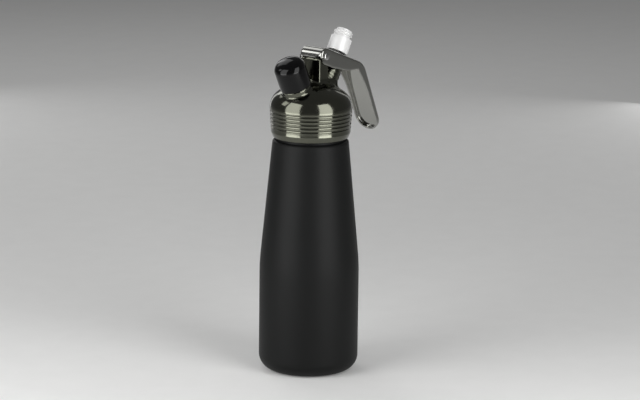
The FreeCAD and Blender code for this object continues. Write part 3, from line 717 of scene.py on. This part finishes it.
def makeCap():
    c = cap
    outline = [(c["bore"], 0, 0.2), (c["radius"], 0, c["rim"])]
    outline += roundTop(c["radius"], c["height"] - c["topHeight"], c["topHeight"], c["edge"])
    outline += [(0, c["ceiling"]), (c["upperBore"], c["ceiling"] - 1.5, 2.0), (c["upperBore"], c["shelf"]),
                (c["bore"], c["shelf"])]
    bm = bmesh.new()
    turnedMesh(bm, outline, 128, onInlet)
    threadMesh(bm, c["thread"], onInlet)
    makePiece("capShell", bm, "cap", finish["capPlastic"], ["cap_shell"])


makeCap()
print("cap made")


# outlet: the sleeve that takes the decorating tips

sleeve = {
    "base": 12.54, "radius": 8.6, "skirt": 12.5, "edge": 0.45, "recess": 3.0, "recessRadius": 6.8,
    "neck": 6.3, "neckLength": 6.9, "bore": 3.2, "socket": 4.05, "socketTop": 22.2,
    "thread": {"radius": 6.3, "height": 1.4, "pitch": 2.4, "turns": 2.1, "start": 26.0, "base": 1.5,
               "crest": 0.4},
}


def makeSleeve():
    s = sleeve
    top = s["base"] + s["skirt"]
    end = top + s["neckLength"]
    outline = [(s["socket"], s["base"] + s["recess"]), (s["recessRadius"], s["base"] + s["recess"]),
               (s["recessRadius"], s["base"], 0.2), (s["radius"], s["base"], 0.3),
               (s["radius"], top, s["edge"]), (s["neck"], top, 0.25), (s["neck"], end, 0.3),
               (s["bore"], end, 0.4), (s["bore"], s["socketTop"]), (s["socket"], s["socketTop"])]
    bm = bmesh.new()
    turnedMesh(bm, outline, 128, onOutlet, 5)
    threadMesh(bm, s["thread"], onOutlet)
    aluminium = finish["adapterAluminium"]
    makePiece("outletSleeve", bm, "piston", aluminium, ["outlet_adapter"])


makeSleeve()
print("outlet sleeve made")


# lever: one pressed channel; its outline is followed along the top, and the sides hang from there

lever = {
    "half": 11.2, "wall": 1.25, "nose": 6.6, "edge": 1.7, "arm": 49.7, "bend": 45.5, "bendRadius": 17.0,
    "handle": 62.5, "flange": 4.2, "tipFlange": 3.6, "tip": 10.9, "knuckle": 22.0,
    "notch": (43.5, 0.6), "heel": (33.0, -3.9), "toe": 12.0, "noseEnd": 2.9, "noseLag": 0.25,
    "window": 5.8, "windowShift": 0.7, "windowDepth": 12, "sheetEdge": 0.3,
    "noseSteps": 16, "webSteps": 14, "bendSteps": 14, "handleSteps": 14, "tipSteps": 10,
    "sideSteps": 6, "edgeSteps": 6, "acrossSteps": 8,
}


def leverWays():
    turn = math.radians(lever["bend"])
    corner = Vector((lever["arm"], lever["nose"]))
    down = Vector((math.cos(turn), -math.sin(turn)))
    inward = Vector((-math.sin(turn), -math.cos(turn)))
    return corner, down, inward


def leverUnderside():
    # lower outline of the cheeks and edge of the flange, as (x, z)
    v = lever
    corner, down, inward = leverWays()
    beyond = v["handle"] + 5
    knuckle = corner + down * v["knuckle"] + inward * v["flange"]
    last = corner + down * beyond + inward * v["tipFlange"]
    points = rounded([(-30, -v["nose"]), (v["toe"], -v["nose"], 40), (*v["heel"], 20), (*v["notch"], 3),
                      (*knuckle, 60), tuple(last), (200, -200), (-30, -200)], 10)
    return points[:-2]


def depthAlong(start, way, outline):
    best = None
    for a, b in zip(outline, outline[1:]):
        edge = b - a
        cross = way.x * edge.y - way.y * edge.x
        if abs(cross) < 1e-9:
            continue
        gap = a - start
        depth = (gap.x * edge.y - gap.y * edge.x) / cross
        share = (gap.x * way.y - gap.y * way.x) / cross
        if 0 <= share <= 1 and depth > 0 and (best is None or depth < best):
            best = depth
    return best


def leverStations():
    # each station: point on the top line, way inward, place where the side ends
    v = lever
    nose = v["nose"]
    under = leverUnderside()
    stations = []
    startAngle = math.pi + math.asin(v["noseEnd"] / nose)
    lowStart = startAngle + v["noseLag"]
    for i in range(v["noseSteps"]):
        share = i / v["noseSteps"]
        angle = startAngle + (math.pi / 2 - startAngle) * share
        top = Vector((math.cos(angle), math.sin(angle)))
        low = lowStart + (1.5 * math.pi - lowStart) * share
        radius = nose - v["edge"] * (1 - share) ** 4
        stations.append((top * nose, -top, Vector((math.cos(low), math.sin(low))) * radius))
    corner, down, inward = leverWays()
    reach = v["bendRadius"] * math.tan(math.radians(v["bend"]) / 2)
    bendStart = v["arm"] - reach
    for i in range(v["webSteps"]):
        top = Vector((bendStart * i / v["webSteps"], nose))
        way = Vector((0, -1))
        stations.append((top, way, top + way * depthAlong(top, way, under)))
    middle = Vector((bendStart, nose - v["bendRadius"]))
    for i in range(v["bendSteps"]):
        angle = math.radians(90 - v["bend"] * i / v["bendSteps"])
        way = -Vector((math.cos(angle), math.sin(angle)))
        top = middle - way * v["bendRadius"]
        stations.append((top, way, top + way * depthAlong(top, way, under)))
    straight = v["handle"] - v["tip"]
    for i in range(v["handleSteps"] + 1):
        top = corner + down * (reach + (straight - reach) * i / v["handleSteps"])
        stations.append((top, inward, top + inward * depthAlong(top, inward, under)))
    return stations


def sidePoint(top, way, end, share):
    v = lever
    edgeSteps = v["edgeSteps"]
    if share <= edgeSteps:
        angle = math.pi / 2 * share / edgeSteps
        return math.sin(angle) * v["edge"], top + way * v["edge"] * (1 - math.cos(angle))
    start = top + way * v["edge"]
    t = (share - edgeSteps) / v["sideSteps"]
    return v["edge"], start.lerp(end, t)


def makeLever():
    v = lever
    corner, down, inward = leverWays()
    under = leverUnderside()
    rim = []
    for top, way, end in leverStations():
        rim.append((top, way, end, v["half"] - v["edge"], (0, 1)))
    straight = v["handle"] - v["tip"]
    inner = v["tip"] - v["edge"]
    for i in range(1, v["tipSteps"] + 1):
        angle = math.pi / 2 * i / v["tipSteps"]
        top = corner + down * (straight + inner * math.sin(angle))
        end = top + inward * depthAlong(top, inward, under)
        rim.append((top, inward, end, v["half"] - v["tip"] + inner * math.cos(angle),
                    (math.sin(angle), math.cos(angle))))
    bm = bmesh.new()

    def sideLoop(entry, side):
        top, way, end, across, (along, out) = entry
        loop = []
        for k in range(v["edgeSteps"] + v["sideSteps"] + 1):
            push, place = sidePoint(top, way, end, k)
            place = place + down * (along * push)
            loop.append(bm.verts.new((place.x, side * (across + out * push), place.y)))
        return loop

    left = [sideLoop(entry, 1) for entry in rim]
    right = [sideLoop(entry, -1) for entry in rim]
    levels = v["edgeSteps"] + v["sideSteps"]
    for loops, flip in ((left, False), (right, True)):
        for a, b in zip(loops, loops[1:]):
            for k in range(levels):
                quad = (a[k], b[k], b[k + 1], a[k + 1])
                bm.faces.new(tuple(reversed(quad)) if flip else quad)
    # web and panel between the two rims
    rows = []
    for a, b in zip(left, right):
        row = [a[0]]
        for k in range(1, v["acrossSteps"]):
            place = a[0].co.lerp(b[0].co, k / v["acrossSteps"])
            row.append(bm.verts.new(place))
        row.append(b[0])
        rows.append(row)
    for a, b in zip(rows, rows[1:]):
        for k in range(v["acrossSteps"]):
            bm.faces.new((a[k], a[k + 1], b[k + 1], b[k]))
    # end of the tip
    top, way, end = rim[-1][:3]
    ends = [left[-1]]
    for k in range(1, v["acrossSteps"]):
        loop = [rows[-1][k]]
        for level in range(1, levels + 1):
            push, place = sidePoint(top, way, end, level)
            place = place + down * push
            loop.append(bm.verts.new((place.x, rows[-1][k].co.y, place.y)))
        ends.append(loop)
    ends.append(right[-1])
    for a, b in zip(ends, ends[1:]):
        for k in range(levels):
            bm.faces.new((a[k], b[k], b[k + 1], a[k + 1]))
    bmesh.ops.recalc_face_normals(bm, faces=bm.faces)
    topFace = min(bm.faces, key=lambda f: (f.calc_center_median() - Vector((20, 0, v["nose"]))).length)
    if topFace.normal.z < 0:
        bmesh.ops.reverse_faces(bm, faces=bm.faces)
    mesh = bpy.data.meshes.new("leverSheet")
    bm.to_mesh(mesh)
    bm.free()
    cutter = bmesh.new()
    tilt = math.radians(layout["outletTilt"] - layout["leverSlope"])
    windowX = layout["outletOffset"] / math.cos(tilt) + v["nose"] * math.tan(tilt) - v["windowShift"]
    hole = [(0, 0), (v["window"], 0), (v["window"], v["windowDepth"]), (0, v["windowDepth"])]
    turnedMesh(cutter, hole, 64, Matrix.Translation((windowX, 0, 0)))
    bmesh.ops.recalc_face_normals(cutter, faces=cutter.faces)
    cutterMesh = bpy.data.meshes.new("windowCutter")
    cutter.to_mesh(cutterMesh)
    cutter.free()
    window = bpy.data.objects.new("windowCutter", cutterMesh)
    bpy.context.scene.collection.objects.link(window)
    mesh = withModifiers(mesh, [("SOLIDIFY", {"thickness": v["wall"], "offset": -1}),
                                ("BOOLEAN", {"operation": "DIFFERENCE", "object": window, "solver": "EXACT"}),
                                ("BEVEL", {"width": v["sheetEdge"], "segments": 2, "limit_method": "ANGLE",
                                           "angle_limit": math.radians(50)})])
    bpy.data.objects.remove(window)
    mesh.transform(onLever)
    mesh.transform(Matrix.Scale(mm, 4))
    dressPiece("leverChannel", mesh, "lever", finish["leverChrome"], ["lever"], 30)


rivet = {"shank": 2.0, "head": 3.0, "height": 0.9, "rim": 0.15, "play": 0.15, "domeSteps": 10}


def makeRivet():
    # a shank with a low dome at each end
    r = rivet
    half = lever["half"] + r["play"]
    dome = [(0, half + r["height"])]
    for i in range(1, r["domeSteps"] + 1):
        turn = math.pi / 2 * i / r["domeSteps"]
        up = half + r["rim"] + (r["height"] - r["rim"]) * math.cos(turn)
        dome.append((r["head"] * math.sin(turn), up))
    dome += [(r["head"], half), (r["shank"], half)]
    mirrored = [(across, -up) for across, up in reversed(dome)]
    bm = bmesh.new()
    place = placedAt(layout["pivotX"], layout["pivotZ"], 0) @ Matrix.Rotation(math.radians(90), 4, "X")
    turnedMesh(bm, dome + mirrored, 64, place, closed=False)
    makePiece("pivotRivet", bm, "head", finish["rivetSteel"], ["pivot_pin"])


makeLever()
makeRivet()
print("lever made")


# coil springs of the outlet valve and of the check valve in the gas inlet

returnSpring = {"radius": 5.65, "wire": 0.65, "base": -3.5, "top": 5.295, "turns": 4.5, "travel": 2.745}
checkSpring = {"radius": 1.325, "wire": 0.175, "base": -11.1, "top": -8.175, "turns": 4.5, "travel": 1.0}


# a coil of round wire, wound from its base up to its top
def makeSpring(name, s, place, stands):
    # a coil that shortens towards its foot as the joint moves
    bm = bmesh.new()
    perTurn, around = 40, 12
    steps = int(s["turns"] * perTurn)
    rise = s["top"] - s["base"] - 2 * s["wire"]
    last = None
    for i in range(steps + 1):
        angle = 2 * math.pi * i / perTurn
        centre = Vector((s["radius"] * math.cos(angle), s["radius"] * math.sin(angle),
                         s["base"] + s["wire"] + rise * i / steps))
        out = Vector((math.cos(angle), math.sin(angle), 0))
        ring = []
        for k in range(around):
            turn = 2 * math.pi * k / around
            ring.append(bm.verts.new(place @ (centre + out * math.cos(turn) * s["wire"]
                                              + Vector((0, 0, math.sin(turn) * s["wire"])))))
        if last:
            joinRings(bm, last, ring)
        else:
            bm.faces.new(ring)
        last = ring
    bm.faces.new(list(reversed(last)))
    piece = makePiece(name, bm, "head", finish["springSteel"], [stands])
    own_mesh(piece)


makeSpring("returnSpring", returnSpring, onOutlet, "return_spring")
makeSpring("checkSpring", checkSpring, onInlet, "check_spring")
print("springs made")


# the small CAD pieces keep their shape and get their finish

carried = {
    "head_gasket": "silicone", "guide_bush": "bushPlastic", "stem_oring": "blackRubber",
    "piston_stem": "stainless", "piston_seal": "blackRubber", "thrust_collar": "stainless",
    "adapter_seal": "blackRubber", "inlet_insert": "insertBrass", "insert_oring": "blackRubber",
    "piercing_pin": "stainless", "charger_seal": "blackRubber", "check_face": "blackRubber",
    "check_poppet": "stainless", "check_retainer": "insertBrass", "cap_liner": "linerFoam",
}
for name, kind in carried.items():
    nodes[name].data.materials.clear()
    nodes[name].data.materials.append(finish[kind])
print("carried over:", len(carried))
